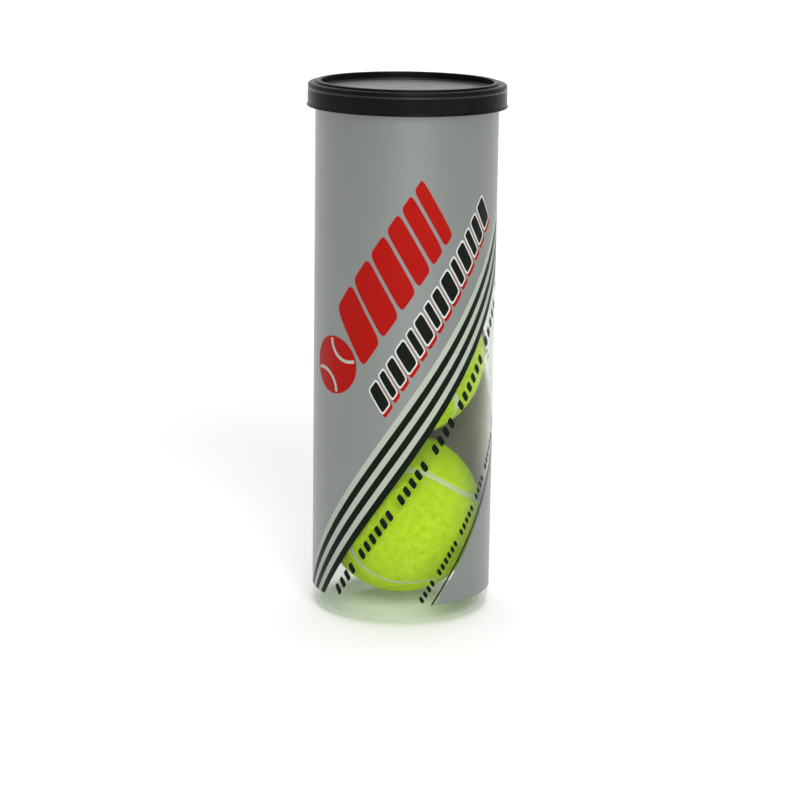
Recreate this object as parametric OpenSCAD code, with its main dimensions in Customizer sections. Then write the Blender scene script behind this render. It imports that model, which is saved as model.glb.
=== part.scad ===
// Pressurised tennis ball can: clear plastic can with a wrap label, an easy-open metal end
// with a pull tab, a push-on overcap and three balls stacked inside.
// Origin: centre of the base at the height of the standing ring. +Z up, -Y is the front.

/* [Balls] */
// Outside diameter of a ball over its felt
ball_d = 66; // [54:0.5:80]
// Thickness of the felt
felt_t = 3; // [2.4:0.1:3.6]
// Wall of the hollow rubber core
core_t = 3.4; // [2.5:0.1:4.5]
// Width of the rubber seam between the two felt panels
seam_w = 2.4; // [1.8:0.1:3.6]
// How far the seam lies below the felt's surface
seam_sink = 0.8; // [0.3:0.1:1.2]
// Free gap between two stacked balls, and between the lowest ball and the base
ball_gap = 0.3; // [0.2:0.1:2]

/* [Can] */
// Gap between a ball and the can's wall, all round
side_gap = 3; // [2.5:0.1:6]
// Thickness of the clear plastic
wall = 0.5; // [0.4:0.05:0.7]
// How far the middle of the base is pushed up
base_rise = 4.1; // [3:0.1:8]
// Radius of the heel between the base and the wall
heel_r = 5; // [4:0.5:8]
// Width of the flat ring that the can stands on
stand_w = 1; // [0.8:0.1:3]
// Space between the top ball and the metal end
headspace = 5.25; // [3:0.25:30]

/* [Label] */
// Thickness of the label film
film_t = 0.1; // [0.08:0.01:0.15]
// Height of the label's lower edge
label_z = 8; // [6:0.5:20]
// Width of the glued lap at the back
lap_w = 8; // [5:0.5:12]

/* [Metal end] */
// Thickness of the metal sheet
sheet = 0.3; // [0.22:0.01:0.36]
// Height of the double seam
seam_h = 3; // [2.6:0.1:3.6]
// Depth of the tear panel below the seam's top
panel_depth = 4.7; // [4.2:0.1:5.6]
// How far the panel's opening is wider than a ball, on the radius
opening_gap = 1.05; // [0.8:0.05:1.2]
// Depth of the countersink below the panel
sink_depth = 1.55; // [1:0.05:1.9]

/* [Pull tab] */
// Length of the tab
tab_l = 26; // [22:0.5:31]
// Width of the tab over its finger ring
tab_w = 17; // [14:0.5:20]
// Thickness of the tab's curled edge
tab_t = 1.4; // [1.1:0.1:1.6]
// Radius of the rivet's head
rivet_head_r = 2.6; // [2.2:0.1:2.9]

/* [Overcap] */
// Height of the overcap
cap_h = 10; // [8.5:0.5:12]
// Wall of the overcap
cap_t = 1.2; // [1:0.1:1.5]
// Gap between the double seam and the overcap's skirt
cap_gap = 0.8; // [0.6:0.1:1.2]
// Depth of the recessed disc below the raised rim
recess = 2.8; // [2.2:0.1:3]
// Height of the raised rim above the shoulder
rim_h = 0.8; // [0.5:0.1:1]

/* [Hidden] */
$fn = 96;
eps = 0.01;

// Balls
ball_r = ball_d / 2;
core_r = ball_r - felt_t;
glue = 0.02;
ball_pitch = ball_d + ball_gap;
// Turn of each ball about X, Y and Z, from the lowest ball up
ball_turns = [[75, 5, -70], [35, -25, -35], [-35, 15, 75]];

// Seam curve: four arcs, each round the centre of a lobe that lies lobe_tilt off the equator
lobe_tilt = 16.5;
lobe_turn = acos(cos(lobe_tilt) / sqrt(2));
joint_gap = 0.03;
reach = 1.2 * ball_r;

// Can: radii
body_in = ball_r + side_gap;
body_r = body_in + wall;
stand_r = body_r - heel_r;
base_in = base_rise + wall;

// Can: heights
ball_z0 = base_in + ball_gap + ball_r;
stack_top = ball_z0 + 2 * ball_pitch + ball_r;
panel_z = stack_top + headspace;
panel_top = panel_z + sheet;
seam_top = panel_top + panel_depth;
seam_z = seam_top - seam_h;

// Double seam, from the inside out: chuck wall, can wall, cover hook, can flange, outer wall
fold = 0.05;
chuck_r = body_in - fold;
hook_in = body_r + fold;
hook_out = hook_in + sheet;
flange_in = hook_out + fold;
flange_r = flange_in + wall;
seam_in = flange_r + fold;
seam_r = seam_in + sheet;
seam_round = 0.8;
gasket_t = 0.35;
flange_top = seam_top - sheet - gasket_t - 2 * fold;
flange_drop = 1.55;

// Metal end
opening_r = ball_r + opening_gap;
score_gap = 0.05;
panel_r = opening_r - score_gap;
sink_in = opening_r + sheet;
sink_z = panel_z - sink_depth;
sink_out = chuck_r - 0.45;
bead_r = panel_r - 4;
bead_w = 1.5;
bead_drop = 0.6;

// Pull tab: the nose points to the front
tab_lift = 0.3;
tab_z = panel_top + tab_lift;
tab_edge = tab_t / 2;
nose_y = -(panel_r - 2.4);
hinge_y = nose_y + tab_edge;
hinge_z = tab_z + tab_edge;
ring_end_y = nose_y + tab_l;
nose_end_r = 6.2;
nose_roll_r = tab_edge + 0.05;
nose_roll_w = 5;
rim_w = 1.7;
web_t = 0.6;
rivet_y = nose_y + 6.6;
rivet_r = 1.6;
rivet_head_t = 0.5;
tongue_r = 3.3;
tongue_t = 0.5;
tongue_gap = 0.35;
ring_hole_y = rivet_y + tongue_r + 2.6;

// Well pressed into the panel under the finger ring
well_y = (ring_hole_y + ring_end_y) / 2;
well_r = (ring_end_y - ring_hole_y) / 2 + 1.75;
well_drop = 1.2;

// Overcap
cap_lift = 0.25;
shoulder_z = seam_top + cap_lift + cap_t;
cap_top = shoulder_z + rim_h;
cap_z = cap_top - cap_h;
cap_in = seam_r + cap_gap;
cap_r = cap_in + cap_t;
cap_round = 1;
lip_out = 0.4;
lip_h = 1;
disc_t = 1.1;
disc_top = cap_top - recess;
plug_r = chuck_r - sheet - 0.25;
plug_in = plug_r - 0.9;
rim_r = plug_in + 2.1;
groove_w = 0.4;
groove_d = 0.25;
bead_in = cap_in - 0.5;
snap_bead_z = seam_z - 0.6;
snap_bead_h = 1.4;
pip_r = 0.75;
pip_h = 0.3;
pip_y = plug_in - 3.4;

// Label
label_gap = 0.05;
label_r = body_r + label_gap;
label_top = cap_z + 1.5;

BALLS = [1, 2, 3];
BALL_PIECES = ["core_lower", "core_upper", "felt_a", "felt_b", "seam"];

// ---------- helpers ----------

// Points of an arc about [x, y], from angle a0 to angle a1
function arc(x, y, r, a0, a1, n = 8) =
    [for (i = [0 : n]) [x + r * cos(a0 + (a1 - a0) * i / n), y + r * sin(a0 + (a1 - a0) * i / n)]];

// The same points in the opposite order
function backwards(points) = [for (i = [len(points) - 1 : -1 : 0]) points[i]];

// A rectangle in the profile plane, from [r0, z0] to [r1, z1]
module bar(r0, z0, r1, z1) {
    translate([r0, z0]) square([r1 - r0, z1 - z0]);
}

// ---------- can ----------

// Height of the base's underside at radius r: a cosine dome that runs out at the standing ring
function dome(r) = base_rise * (1 + cos(180 * r / (stand_r - stand_w))) / 2;

// Underside of the base from the axis to the heel, thickened inwards by t
function base_line(t) = concat(
    [for (i = [0 : 20]) let (r = (stand_r - stand_w) * i / 20) [r, dome(r) + t]],
    arc(stand_r, heel_r, heel_r - t, -90, 0, 10)
);

module can_body() {
    color("lightcyan") {
        rotate_extrude() {
            polygon(concat(
                base_line(0),
                [[body_r, flange_top - wall], [flange_in, flange_top - wall]],
                [[flange_in, flange_top - flange_drop], [flange_r, flange_top - flange_drop]],
                arc(flange_r - wall, flange_top - wall, wall, 0, 90, 4),
                arc(body_in + wall, flange_top - wall, wall, 90, 180, 4),
                backwards(base_line(wall))
            ));
        }
        gate_nub();
    }
}

// Moulding point under the middle of the base
module gate_nub() {
    translate([0, 0, base_rise - 0.8]) cylinder(r = 3, h = 0.8 + wall / 2);
}

module label() {
    color("silver") {
        difference() {
            translate([0, 0, label_z]) cylinder(r = label_r + film_t, h = label_top - label_z);
            translate([0, 0, label_z - 1]) cylinder(r = label_r, h = label_top - label_z + 2);
        }
        label_lap();
    }
}

// Second layer of film where the label's two ends are glued at the back
module label_lap() {
    intersection() {
        difference() {
            translate([0, 0, label_z]) cylinder(r = label_r + 2 * film_t, h = label_top - label_z);
            translate([0, 0, label_z - 1]) cylinder(r = label_r + film_t / 2, h = label_top - label_z + 2);
        }
        translate([-lap_w / 2, 0, 0]) cube([lap_w, 2 * body_r, label_top + 1]);
    }
}

// ---------- metal end ----------

module seam_ring() {
    color("gainsboro") rotate_extrude() {
        difference() {
            seam_outline(0);
            seam_outline(sheet);
            bar(chuck_r, seam_z - 1, hook_in, seam_z + 2 * sheet);
        }
        bar(hook_in, seam_z, hook_out, flange_top - wall - 2 * fold);
        polygon([[chuck_r, seam_z + seam_h / 2], [chuck_r - sheet, seam_z + seam_h / 2],
                 [chuck_r - sheet, seam_z], [sink_out - sheet, sink_z + sheet],
                 [sink_out, sink_z + sheet], [chuck_r, seam_z]]);
        bar(sink_in - sheet, sink_z, sink_out, sink_z + sheet + eps);
        bar(sink_in - sheet + eps, sink_z, sink_in + eps, panel_top);
        bar(opening_r, panel_z, sink_in + eps, panel_top);
    }
}

// Section of the double seam with rounded shoulders, shrunk by t on every side
module seam_outline(t) {
    polygon(concat(
        arc(seam_r - 0.4, seam_z + 0.4, 0.4 - t, -90, 0, 4),
        arc(seam_r - seam_round, seam_top - seam_round, seam_round - t, 0, 90, 6),
        arc(chuck_r - sheet + seam_round, seam_top - seam_round, seam_round - t, 90, 180, 6),
        [[chuck_r - sheet + t, seam_z + t]]
    ));
}

module seam_gasket() {
    color("dimgray") rotate_extrude()
        bar(body_in + wall, flange_top + fold, flange_r - wall / 2, flange_top + fold + gasket_t);
}

module tear_panel() {
    color("gainsboro") {
        difference() {
            union() {
                rotate_extrude() panel_section();
                translate([0, well_y, panel_z - well_drop]) cylinder(r = well_r, h = well_drop + eps);
            }
            translate([0, well_y, panel_top - well_drop]) cylinder(r = well_r - sheet, h = well_drop + 1);
        }
        translate([0, rivet_y, panel_top - eps]) cylinder(r = rivet_r, h = tab_lift + tongue_t + 2 * eps);
        translate([0, rivet_y, tab_z + tongue_t]) cylinder(r = rivet_head_r, h = rivet_head_t);
    }
}

// Flat sheet with a stiffening bead pressed down near its edge
module panel_section() {
    bar(0, panel_z, bead_r + sheet, panel_top);
    bar(bead_r, panel_z - bead_drop, bead_r + sheet, panel_top);
    bar(bead_r, panel_z - bead_drop, bead_r + bead_w, panel_top - bead_drop);
    bar(bead_r + bead_w - sheet, panel_z - bead_drop, bead_r + bead_w, panel_top);
    bar(bead_r + bead_w - sheet, panel_z, panel_r, panel_top);
}

// ---------- pull tab ----------

// Outline of the tab: a round finger end and a smaller round nose, inset by t
module tab_outline(t) {
    ring_r = tab_w / 2 - t;
    nose_r = nose_end_r - t;
    polygon(concat(
        arc(0, ring_end_y - tab_w / 2, ring_r, 0, 180, 20),
        arc(0, nose_y + nose_end_r, nose_r, 180, 360, 20)
    ));
}

module pull_tab() {
    color("whitesmoke") {
        tab_plate();
        nose_roll();
    }
}

// Rolled front edge of the nose, on which the tab turns
module nose_roll() {
    translate([0, hinge_y, hinge_z]) rotate([0, 90, 0]) cylinder(r = nose_roll_r, h = nose_roll_w, center = true);
}

module tab_plate() {
    difference() {
        translate([0, 0, tab_z]) linear_extrude(height = tab_t) tab_outline(0);
        translate([0, 0, tab_z - 1]) linear_extrude(height = 1 + tab_t / 2 - web_t / 2) tab_outline(rim_w);
        translate([0, 0, tab_z + tab_t / 2 + web_t / 2]) linear_extrude(height = 1 + tab_t) tab_outline(rim_w);
        translate([0, rivet_y, tab_z - 1]) cylinder(r = tongue_r + tongue_gap, h = tab_t + 2);
        translate([0, 0, tab_z - 1]) linear_extrude(height = tab_t + 2) finger_hole();
    }
}

// Finger hole: the tab's own round end, cut off straight behind the tongue
module finger_hole() {
    intersection() {
        tab_outline(rim_w + 0.6);
        translate([-tab_w, ring_hole_y]) square([2 * tab_w, tab_l]);
    }
}

module tab_rivet_island() {
    color("whitesmoke") difference() {
        translate([0, rivet_y, tab_z]) cylinder(r = tongue_r, h = tongue_t - eps);
        translate([0, rivet_y, tab_z - 1]) cylinder(r = rivet_r + glue, h = tongue_t + 2);
    }
}

// ---------- overcap ----------

module overcap() {
    color("black") {
        rotate_extrude() polygon(concat(
            [[0, disc_top - disc_t], [plug_r, disc_top - disc_t], [plug_r, shoulder_z - cap_t]],
            [[cap_in, shoulder_z - cap_t], [cap_in, snap_bead_z + snap_bead_h / 2]],
            [[bead_in, snap_bead_z + 0.15], [bead_in, snap_bead_z - 0.15]],
            [[cap_in, snap_bead_z - snap_bead_h / 2], [cap_in, cap_z + 0.3], [cap_in + 0.3, cap_z]],
            [[cap_r + lip_out - 0.2, cap_z], [cap_r + lip_out, cap_z + 0.2]],
            [[cap_r + lip_out, cap_z + lip_h / 2], [cap_r, cap_z + lip_h]],
            arc(cap_r - cap_round, shoulder_z - cap_round, cap_round, 0, 90, 6),
            [[rim_r + groove_w, shoulder_z], [rim_r + groove_w / 2, shoulder_z - groove_d]],
            [[rim_r, shoulder_z], [rim_r, cap_top - 0.3], [rim_r - 0.3, cap_top]],
            [[plug_in + 0.3, cap_top], [plug_in, cap_top - 0.3], [plug_in, disc_top], [0, disc_top]]
        ));
        translate([0, pip_y, disc_top - eps]) cylinder(r = pip_r, h = pip_h + eps);
    }
}

// ---------- balls ----------

// Places children at ball i's centre, turned its own way
module at_ball(i) {
    translate([0, 0, ball_z0 + (i - 1) * ball_pitch]) rotate(ball_turns[i - 1]) children();
}

module half_core(up) {
    difference() {
        sphere(r = core_r);
        sphere(r = core_r - core_t);
        translate([-ball_d, -ball_d, up ? -2 * ball_d : 0]) cube(2 * ball_d);
    }
}

// The second panel is the first one turned a quarter and upside down
module other_way() {
    rotate([0, 0, 90]) rotate([180, 0, 0]) children();
}

// Two cones from the ball's centre, each the reach of one lobe, opposite one another
module lobe_pair(turn) {
    for (side = [0, 180]) {
        rotate([0, 90 - lobe_tilt, side]) cylinder(r1 = 0, r2 = reach * tan(turn), h = reach);
    }
}

module half_space(up) {
    translate([-reach, -reach, up ? 0 : -2 * reach]) cube(2 * reach);
}

// All that one felt panel may fill: above the equator all but the other panel's two lobes,
// and below it its own two lobes, drawn in by inset along the seam
module panel_region(inset) {
    turn = inset / ball_r * 180 / PI;
    difference() {
        cube(2 * reach, center = true);
        intersection() {
            lobe_pair(lobe_turn + turn);
            half_space(true);
        }
        difference() {
            half_space(false);
            other_way() lobe_pair(lobe_turn - turn);
        }
    }
}

module skin(outer) {
    difference() {
        sphere(r = outer);
        sphere(r = core_r + glue);
    }
}

module felt_panel() {
    intersection() {
        skin(ball_r);
        panel_region(seam_w / 2);
    }
}

module ball_seam() {
    difference() {
        skin(ball_r - seam_sink);
        panel_region(seam_w / 2 - joint_gap);
        other_way() panel_region(seam_w / 2 - joint_gap);
    }
}

module ball_piece(i, piece) {
    at_ball(i) {
        if (piece == "core_lower") color("dimgray") half_core(false);
        if (piece == "core_upper") color("dimgray") half_core(true);
        if (piece == "felt_a") color("greenyellow") felt_panel();
        if (piece == "felt_b") color("greenyellow") other_way() felt_panel();
        if (piece == "seam") color("beige") ball_seam();
    }
}

can_body();
label();
seam_ring();
seam_gasket();
tear_panel();
tab_rivet_island();
pull_tab();
overcap();
for (i = BALLS) for (piece = BALL_PIECES) {
    ball_piece(i, piece);
}
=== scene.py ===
"""Looks of a pressurised tennis ball can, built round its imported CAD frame."""

import math

import bmesh
import bpy
import numpy as np
from bpy.props import FloatProperty, FloatVectorProperty, IntProperty, PointerProperty
from mathutils import Matrix, Vector


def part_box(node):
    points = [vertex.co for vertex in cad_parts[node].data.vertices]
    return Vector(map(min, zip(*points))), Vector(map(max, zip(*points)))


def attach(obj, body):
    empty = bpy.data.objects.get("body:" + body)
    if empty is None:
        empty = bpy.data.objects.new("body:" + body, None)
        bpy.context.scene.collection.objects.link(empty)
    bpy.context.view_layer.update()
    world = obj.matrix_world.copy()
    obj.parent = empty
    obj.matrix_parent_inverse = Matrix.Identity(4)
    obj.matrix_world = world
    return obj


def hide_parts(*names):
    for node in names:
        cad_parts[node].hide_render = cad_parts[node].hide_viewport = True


bl_info = {
    "name": "Tennis Ball Can",
    "version": (1, 0, 0),
    "blender": (4, 5, 0),
    "location": "3D View > Sidebar > Ball Can",
    "description": "Builds a clear can of tennis balls with its label, metal end and overcap",
    "category": "Add Mesh",
}

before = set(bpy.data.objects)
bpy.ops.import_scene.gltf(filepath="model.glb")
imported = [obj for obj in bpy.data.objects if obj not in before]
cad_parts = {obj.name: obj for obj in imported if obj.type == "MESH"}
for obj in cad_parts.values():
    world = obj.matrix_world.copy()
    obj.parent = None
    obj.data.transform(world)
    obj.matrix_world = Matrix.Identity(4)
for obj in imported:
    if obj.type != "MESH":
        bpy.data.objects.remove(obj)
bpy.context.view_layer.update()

MM = 0.001
TURN = 2 * math.pi
BALLS = (1, 2, 3)
# Turn of each ball about X, Y and Z, in degrees, from the lowest ball up
BALL_TURNS = ((75, 5, -70), (35, -25, -35), (-35, 15, 75))
# Largest share of a side that one rounded corner takes up, and half the angle past which none is made
ARC_SHARE = 0.49
NEARLY_STRAIGHT = math.radians(88)
TINY = 1e-9


# ---------- sizes and colours ----------

def length(label, note, default):
    """A length in metres; angle takes degrees, and colour three shares of linear light."""
    return FloatProperty(name=label, description=note, default=default, unit="LENGTH", subtype="DISTANCE")


def angle(label, note, degrees):
    return FloatProperty(name=label, description=note, default=math.radians(degrees), unit="ROTATION",
                         subtype="ANGLE")


def colour(label, note, *rgb):
    return FloatVectorProperty(name=label, description=note, default=rgb, size=3, subtype="COLOR", min=0,
                               max=1)


def half_width(node):
    """Half of a CAD node's width along X, which is a turned piece's radius."""
    low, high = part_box(node)
    return (high.x - low.x) / 2


class CanSettings(bpy.types.PropertyGroup):
    wall: length("Wall", "Thickness of the clear plastic", 0.5 * MM)
    base_rise: length("Base rise", "How far the middle of the base is pushed up", 4.1 * MM)
    heel: length("Heel", "Radius between the base and the wall", 5 * MM)
    stand: length("Standing ring", "Width of the flat ring that the can stands on", 1 * MM)
    outer: length("Outer radius", "Radius of the can's wall", half_width("label") - 0.15 * MM)
    turns: IntProperty(name="Steps round", description="Steps round each turned piece", default=192, min=48)
    tint: colour("Plastic tint", "Colour of the clear plastic", 0.972, 0.985, 0.975)


class LabelSettings(bpy.types.PropertyGroup):
    film: length("Film", "Thickness of the label film", 0.1 * MM)
    gap: length("Gap", "Air between the can and the film", 0.05 * MM)
    lap: length("Lap", "Width of the glued lap at the back", 8 * MM)
    slant: angle("Slant", "Lean of the stripes off the upright", 34.02)
    datum: length("Datum height", "Height at which the first stripe crosses the front", 90 * MM)
    dark_stripe: length("Dark stripe", "Width of a black stripe, across", 2.69 * MM)
    pale_stripe: length("Pale stripe", "Width of a pale stripe, across", 2.34 * MM)
    window: length("Window", "Width of the clear window, across", 42.6 * MM)
    emblem_start: length("Emblem start", "Centre of the emblem's ball, along from the datum", -5 * MM)
    emblem_place: length("Emblem place", "Middle of the emblem, across from the first stripe", -34.4 * MM)
    emblem_size: length("Emblem size", "Height of the emblem across the stripes", 23.4 * MM)
    fine_line: length("Fine line", "Width of the dark line at the window's far side, across", 0.7 * MM)
    silver: colour("Silver ink", "Ground of the label", 0.235, 0.250, 0.238)
    # The reverse's pale tone is partly the ink's own back and partly painted light shining through the label
    # from behind
    reverse: colour("Reverse", "Inner side of the silver ink", 0.60, 0.50, 0.46)
    ghost: colour("Ghost", "Back of the emblem, as it shows inside", 0.50, 0.16, 0.13)
    pale: colour("Pale ink", "Pale stripes", 0.40, 0.45, 0.375)
    black: colour("Black ink", "Black stripes and marks", 0.003, 0.006, 0.003)
    red: colour("Red ink", "Emblem", 0.36, 0.004, 0.001)
    white: colour("White ink", "Outline of the marks", 0.62, 0.65, 0.61)


class EndSettings(bpy.types.PropertyGroup):
    sheet: length("Sheet", "Thickness of the metal sheet", 0.3 * MM)
    bead_drop: length("Bead", "Depth of the stiffening bead", 0.6 * MM)
    well_drop: length("Well", "Depth of the well under the finger ring", 1.2 * MM)
    metal: colour("End metal", "Lacquered end", 0.46, 0.46, 0.45)
    tab_metal: colour("Tab metal", "Bare tab", 0.58, 0.58, 0.57)


class CapSettings(bpy.types.PropertyGroup):
    wall: length("Wall", "Wall of the overcap", 1.2 * MM)
    recess: length("Recess", "Depth of the disc below the rim", 2.8 * MM)
    rim: length("Rim", "Height of the raised rim", 0.8 * MM)
    plastic: colour("Cap plastic", "Black plastic", 0.005, 0.005, 0.006)


class BallSettings(bpy.types.PropertyGroup):
    radius: length("Radius", "Radius of a ball over its felt", 33 * MM)
    felt: length("Felt", "Thickness of the felt", 3 * MM)
    seam: length("Seam", "Width of the rubber seam", 2.4 * MM)
    felt_cut: FloatVectorProperty(name="Felt cut", description="Width and length of a panel's dumbbell cut",
                                  default=(0.070, 0.185), size=2, subtype="XYZ_LENGTH", unit="LENGTH")
    felt_area: FloatProperty(name="Felt area", description="Flat area of the dumbbell cut", default=0.0065,
                             unit="AREA")
    lobe_tilt: angle("Lobe tilt", "How far the lobes' centres lie off the equator", 16.5)
    fibres: IntProperty(name="Fibres", description="Loose fibres on each felt panel", default=5200, min=0)
    fibre: length("Fibre", "Length of a loose fibre", 1.1 * MM)
    dye: colour("Felt dye", "Yellow of the felt", 0.56, 0.80, 0.006)
    rubber: colour("Seam rubber", "Pale rubber between the panels", 0.60, 0.68, 0.38)


class StageSettings(bpy.types.PropertyGroup):
    distance: length("Distance", "Camera's distance from the can's axis", 1.0)
    height: length("Height", "Camera's height above the floor", 0.3191)
    tilt: angle("Tilt", "How far the camera looks down", 13.16)
    pan: angle("Pan", "How far the camera looks to the left", 0.073)
    roll: angle("Roll", "Camera's roll", 0.80)
    lens: FloatProperty(name="Lens", description="Focal length", default=112.74, unit="CAMERA")


SETTINGS = {
    "ball_can_body": CanSettings,
    "ball_can_label": LabelSettings,
    "ball_can_end": EndSettings,
    "ball_can_cap": CapSettings,
    "ball_can_balls": BallSettings,
    "ball_can_stage": StageSettings,
}


# ---------- surfaces ----------

def grid_faces(rows, columns, round_rows=False, round_columns=False):
    """Four corners of every cell of a grid of rows by columns, row by row; a round side joins its ends."""
    i = np.arange(rows if round_rows else rows - 1)[:, None]
    j = np.arange(columns if round_columns else columns - 1)[None, :]
    i2, j2 = (i + 1) % rows, (j + 1) % columns
    corners = [i * columns + j, i2 * columns + j, i2 * columns + j2, i * columns + j2]
    return np.stack(np.broadcast_arrays(*corners), -1).reshape(-1, 4)


def new_piece(name, points, faces, body, slot, material, sharp=35, weld=1e-7):
    """Makes an object at the origin from an array of points and one of faces, welds it and rides it."""
    mesh = bpy.data.meshes.new(name)
    mesh.from_pydata(np.asarray(points, float).reshape(-1, 3), [], np.asarray(faces).tolist())
    work = bmesh.new()
    work.from_mesh(mesh)
    bmesh.ops.remove_doubles(work, verts=work.verts, dist=weld)
    bmesh.ops.dissolve_degenerate(work, edges=work.edges, dist=weld)
    bmesh.ops.recalc_face_normals(work, faces=work.faces)
    work.to_mesh(mesh)
    work.free()
    mesh.polygons.foreach_set("use_smooth", np.ones(len(mesh.polygons), bool))
    if sharp:
        mesh.set_sharp_from_angle(angle=math.radians(sharp))
    mesh.materials.append(material)
    piece = bpy.data.objects.new(name, mesh)
    bpy.context.scene.collection.objects.link(piece)
    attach(piece, body)
    return piece


def unit(vectors):
    """Vectors scaled to length one."""
    return vectors / np.linalg.norm(vectors, axis=-1, keepdims=True)


def round_axis(r, t, z):
    """Points at radius r, angle t from the front and height z: (r sin t, -r cos t, z)."""
    return np.stack(np.broadcast_arrays(r * np.sin(t), -r * np.cos(t), z), -1)


def join_parts(parts):
    """Puts several (points, faces) pairs into one pair, counting each part's points on from the last."""
    points, faces, start = [], [], 0
    for p, f in parts:
        p = np.asarray(p, float).reshape(-1, 3)
        points.append(p)
        faces.append(np.asarray(f) + start)
        start += len(p)
    return np.concatenate(points), np.concatenate(faces)


def turned(profile, steps, shut=False):
    """Surface of revolution: each profile point (radius, height) goes round the axis in equal steps."""
    r, z = np.asarray(profile, float).T[:, None]
    t = np.linspace(0, TURN, steps, endpoint=False)[:, None]
    return round_axis(r, t, z).reshape(-1, 3), grid_faces(steps, r.shape[1], True, shut)


def rounded(corners, shut=False, steps=5):
    """Outline through corners (x, y, radius), each turned into an arc that touches both of its sides.

    With h half the corner's angle, the arc starts radius / tan(h) from the corner, and its centre lies on
    the corner's bisector, radius / sin(h) away. An arc takes up no more than ARC_SHARE of either side.
    """
    corners = np.asarray(corners, float)
    out = []
    for i, (x, y, radius) in enumerate(corners):
        here = np.array([x, y])
        if radius <= 0 or (not shut and i in (0, len(corners) - 1)):
            out.append(here[None])
            continue
        sides = np.array([corners[i - 1, :2], corners[(i + 1) % len(corners), :2]]) - here
        a, b = unit(sides)
        half = math.acos(np.clip(a @ b, -1, 1)) / 2
        if half > NEARLY_STRAIGHT:
            out.append(here[None])
            continue
        reach = min(radius / math.tan(half), ARC_SHARE * np.linalg.norm(sides, axis=1).min())
        radius = reach * math.tan(half)
        bisector, chord = unit(a + b), unit(b - a)
        t = np.linspace(half - math.pi / 2, math.pi / 2 - half, steps)[:, None]
        centre = here + bisector * radius / math.sin(half)
        out.append(centre + radius * (np.sin(t) * chord - np.cos(t) * bisector))
    return np.concatenate(out)


def thick_sheet(outer, inner, round_columns=False):
    """Closed slab between two grids of points: both faces, and a wall round every free edge."""
    rows, columns = outer.shape[:2]
    count = rows * columns
    face = grid_faces(rows, columns, False, round_columns)
    index = np.arange(count).reshape(rows, columns)
    edges = [index[-1], index[0][::-1]]
    if not round_columns:
        edges += [index[:, 0], index[::-1, -1]]
    walls = []
    for edge in edges:
        edge = np.append(edge, edge[0]) if round_columns else edge
        walls.append(np.stack([edge[:-1], edge[1:], edge[1:] + count, edge[:-1] + count], -1))
    faces = np.concatenate([face, face[:, ::-1] + count] + walls)
    return np.concatenate([outer.reshape(-1, 3), inner.reshape(-1, 3)]), faces


def tube_along(path, radius, steps):
    """Closed round tube: at each path point, a circle across the path's direction."""
    ahead = unit(np.roll(path, -1, 0) - np.roll(path, 1, 0))
    side = unit(np.cross(ahead, [0, 0, 1.0]))
    up = np.cross(side, ahead)
    t = np.linspace(0, TURN, steps, endpoint=False)[None, :, None]
    ring = np.cos(t) * side[:, None] + np.sin(t) * up[:, None]
    return (path[:, None] + radius * ring).reshape(-1, 3), grid_faces(len(path), steps, True, True)


# ---------- shader groups and materials ----------

def feed(tree, value, socket):
    """Links another node's output to a socket, or sets the socket to a number, a vector or a colour."""
    if isinstance(value, bpy.types.NodeSocket):
        tree.links.new(value, socket)
    else:
        socket.default_value = (*value, 1) if socket.type == "RGBA" else value


def add_node(tree, kind, **values):
    """Adds a node; a value named after a socket feeds that socket, and any other sets a property."""
    node = tree.nodes.new(kind)
    for key, value in values.items():
        name = key.replace("_", " ")
        if name in node.inputs:
            feed(tree, value, node.inputs[name])
        else:
            setattr(node, key, value)
    return node


def maths(tree, operation, *values):
    """A Math node; each value is a number or another node's socket."""
    node = add_node(tree, "ShaderNodeMath", operation=operation)
    for value, socket in zip(values, node.inputs):
        feed(tree, value, socket)
    return node.outputs[0]


def blend_colours(tree, factor, first, second, mode="MIX"):
    """A colour Mix node; the factor is a number or a socket, and each colour is a triple or a socket."""
    node = add_node(tree, "ShaderNodeMix", data_type="RGBA", blend_type=mode)
    for value, slot in ((factor, 0), (first, 6), (second, 7)):
        feed(tree, value, node.inputs[slot])
    return node.outputs[2]


def ramp(tree, source, low, high):
    """Stretches the span from low to high over 0 to 1 and stops at both ends."""
    return add_node(tree, "ShaderNodeMapRange", Value=source, From_Min=low, From_Max=high).outputs["Result"]


def noise(tree, place, scale, **values):
    """A noise texture's value at a place; values are its other sockets."""
    return add_node(tree, "ShaderNodeTexNoise", Vector=place, Scale=scale, **values).outputs["Fac"]


def object_place(tree):
    return add_node(tree, "ShaderNodeTexCoord").outputs["Object"]


def shader_group(name, sockets_in, sockets_out):
    """An empty shader node group; sockets are (name, default) pairs going in and (name, kind) pairs out."""
    group = bpy.data.node_groups.new(name, "ShaderNodeTree")
    for label, default in sockets_in:
        tinted = isinstance(default, tuple)
        kind = "NodeSocketColor" if tinted else "NodeSocketFloat"
        socket = group.interface.new_socket(label, in_out="INPUT", socket_type=kind)
        socket.default_value = (*default, 1) if tinted else default
    for label, kind in sockets_out:
        group.interface.new_socket(label, in_out="OUTPUT", socket_type="NodeSocket" + kind)
    return group, group.nodes.new("NodeGroupInput").outputs, group.nodes.new("NodeGroupOutput").inputs


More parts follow.
